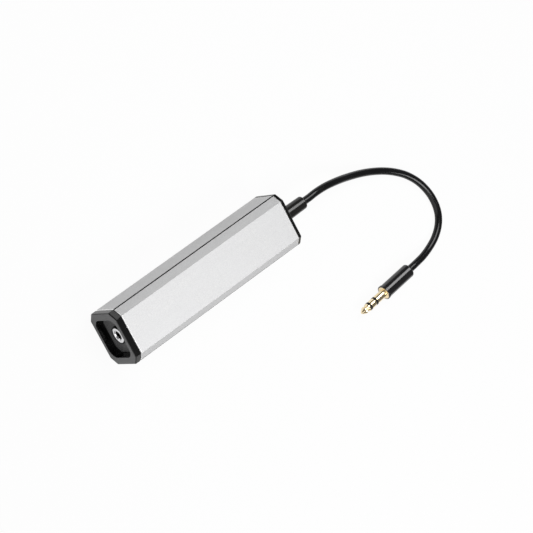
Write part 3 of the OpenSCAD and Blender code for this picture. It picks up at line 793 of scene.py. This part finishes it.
def wire_turns(node, finish):
    """A winding: a sleeve round the bobbin under one layer of turns side by side."""
    low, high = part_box(node)
    middle, size = (low + high) / 2, high - low
    width, height = size.y - WIRE, size.z - WIRE

    def sleeve_ring(x, inset):
        w, t = width / 2 - inset, height / 2 - inset
        corners = [(x, w, t), (x, -w, t), (x, -w, -t), (x, w, -t)]
        return [p + Vector((0, middle.y, middle.z))
                for p in eased(corners, 1.35 * MM - inset, 4, closed=True)]

    rings = [sleeve_ring(low.x, 0), sleeve_ring(high.x, 0),
             sleeve_ring(high.x, SLEEVE), sleeve_ring(low.x, SLEEVE)]
    count = int(size.x / WIRE)
    turns = Repeat(f"{node}_turns", finish, Turns=count, Pitch=size.x / count, Wire=WIRE,
                   Width=width, Height=height, Corner=1.35 * MM)
    loop = turns.add("GeometryNodeCurvePrimitiveQuadrilateral", None, {
        "Width": turns.given("Width"), "Height": turns.given("Height")})
    loop = turns.add("GeometryNodeFilletCurve", {"mode": "POLY"}, {
        "Curve": loop, "Radius": turns.given("Corner"), "Count": 4})
    section = turns.add("GeometryNodeCurvePrimitiveCircle", None, {
        "Resolution": 6, "Radius": turns.given("Wire") / 2})
    turn = turns.add("GeometryNodeCurveToMesh", None, {"Curve": loop, "Profile Curve": section})
    turn = turns.add("GeometryNodeTransform", None, {
        "Geometry": turn, "Rotation": (math.pi / 2, 0, math.pi / 2)})
    pitch = turns.given("Pitch")
    start = turns.vector(pitch / 2 + low.x, middle.y, middle.z)
    laid = turns.row(turn, turns.given("Turns"), start, turns.vector(pitch))
    whole = turns.add("GeometryNodeJoinGeometry", None, [turns.given("Body")])
    turns.tree.links.new(laid.socket, whole.socket.node.inputs[0])
    body = closed_mesh(node, finish, [p for ring in rings for p in ring],
                       faces_between(rings, joined=True))
    return settle(turns.make(body, whole), node)


# --- building the scene ---

set_camera()

floor_mesh = bpy.data.meshes.new("studio_floor")
floor_mesh.from_pydata([(-6, -6, 0), (6, -6, 0), (6, 6, 0), (-6, 6, 0)], [], [(0, 1, 2, 3)])
floor_mesh.materials.append(studio_floor_finish().material)
floor = bpy.data.objects.new("studio_floor", floor_mesh)
floor.location.z = -0.02 * MM
scene.collection.objects.link(floor)

world = bpy.data.worlds.new("studio")
world.use_nodes = True
room = Nodes(world.node_tree)
path = room.add("ShaderNodeLightPath", output="Is Camera Ray")
glossy = room.add("ShaderNodeLightPath", output="Is Glossy Ray")
through = room.add("ShaderNodeLightPath", output="Is Transmission Ray")
shown = path + glossy * 0.06 + through
walls = room.add("ShaderNodeMix", {"data_type": "RGBA"}, {
    0: shown, 6: (0.12, 0.12, 0.12, 1), 7: (1, 1, 1, 1)}, 2)
room.feed(world.node_tree.nodes["Background"].inputs["Color"], walls)
scene.world = world
scene.view_settings.view_transform = "Standard"

softbox("key_softbox", (-0.04, -0.01, 0.01), (0.42, 0.38, 0.80), 0.55, (0.42, 0.28), 5.5)
softbox("left_softbox", (-0.1, 0, 0.01), (0.34, -0.56, 0.64), 0.45, (0.26, 0.19), 7.2)
softbox("edge_softbox", (-0.045, 0.01, 0.018), (0.46, 0.84, 0.27), 0.3, (0.08, 0.05), 2.6)
softbox("front_softbox", (-0.04, 0, 0.01), (-0.95, -0.18, 0.26), 0.8, (1.6, 1.0), 1.1)

aluminium = blasted_aluminium()
plastic = moulded_plastic()
rubber = moulded_rubber()
insulation = jack_plastic_finish()
nickel = turned_metal("nickel_plate", (0.94, 0.94, 0.95), (0.84, 0.84, 0.85), 0.08,
                      (0, 0, AXIS_Z), (0, 0, 0), along=False)
gold = turned_metal("gold_plate", (1.0, 0.85, 0.57), (0.90, 0.68, 0.36), 0.08,
                    tuple(GRIP_FRONT), (0, 0, YAW), along=True)

tube(aluminium)
front_cap(plastic)
rear_cap(plastic)
jack_housing(insulation)
jack_ring(nickel)
boot = strain_relief(rubber)
lead, lead_length = cord(cord_jacket_finish())
plug_pieces = plug(grip_lacquer(), gold, insulation)

iron, copper = core_iron(), winding_copper()
for side in ("left", "right"):
    core_plates(f"{side}_core", iron)
    wire_turns(f"{side}_winding", copper)

brass, board_mask, ivory = sheet_brass(), board_laminate(), bobbin_plastic()
INNER = {
    "jack_sleeve_contact": brass, "jack_ring_contact": brass, "jack_tip_contact": brass,
    "circuit_board": board_mask, "left_bobbin": ivory, "right_bobbin": ivory,
    "left_pins": brass, "right_pins": brass,
    "wire_left": wire_jacket("wire_white", (0.80, 0.80, 0.77), (0.66, 0.65, 0.61)),
    "wire_ground": wire_jacket("wire_black", (0.030, 0.030, 0.030), (0.012, 0.012, 0.012)),
    "wire_right": wire_jacket("wire_red", (0.62, 0.035, 0.025), (0.42, 0.02, 0.015)),
}
for name, finish in INNER.items():
    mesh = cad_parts[name].data
    mesh.materials.clear()
    mesh.materials.append(finish.material)
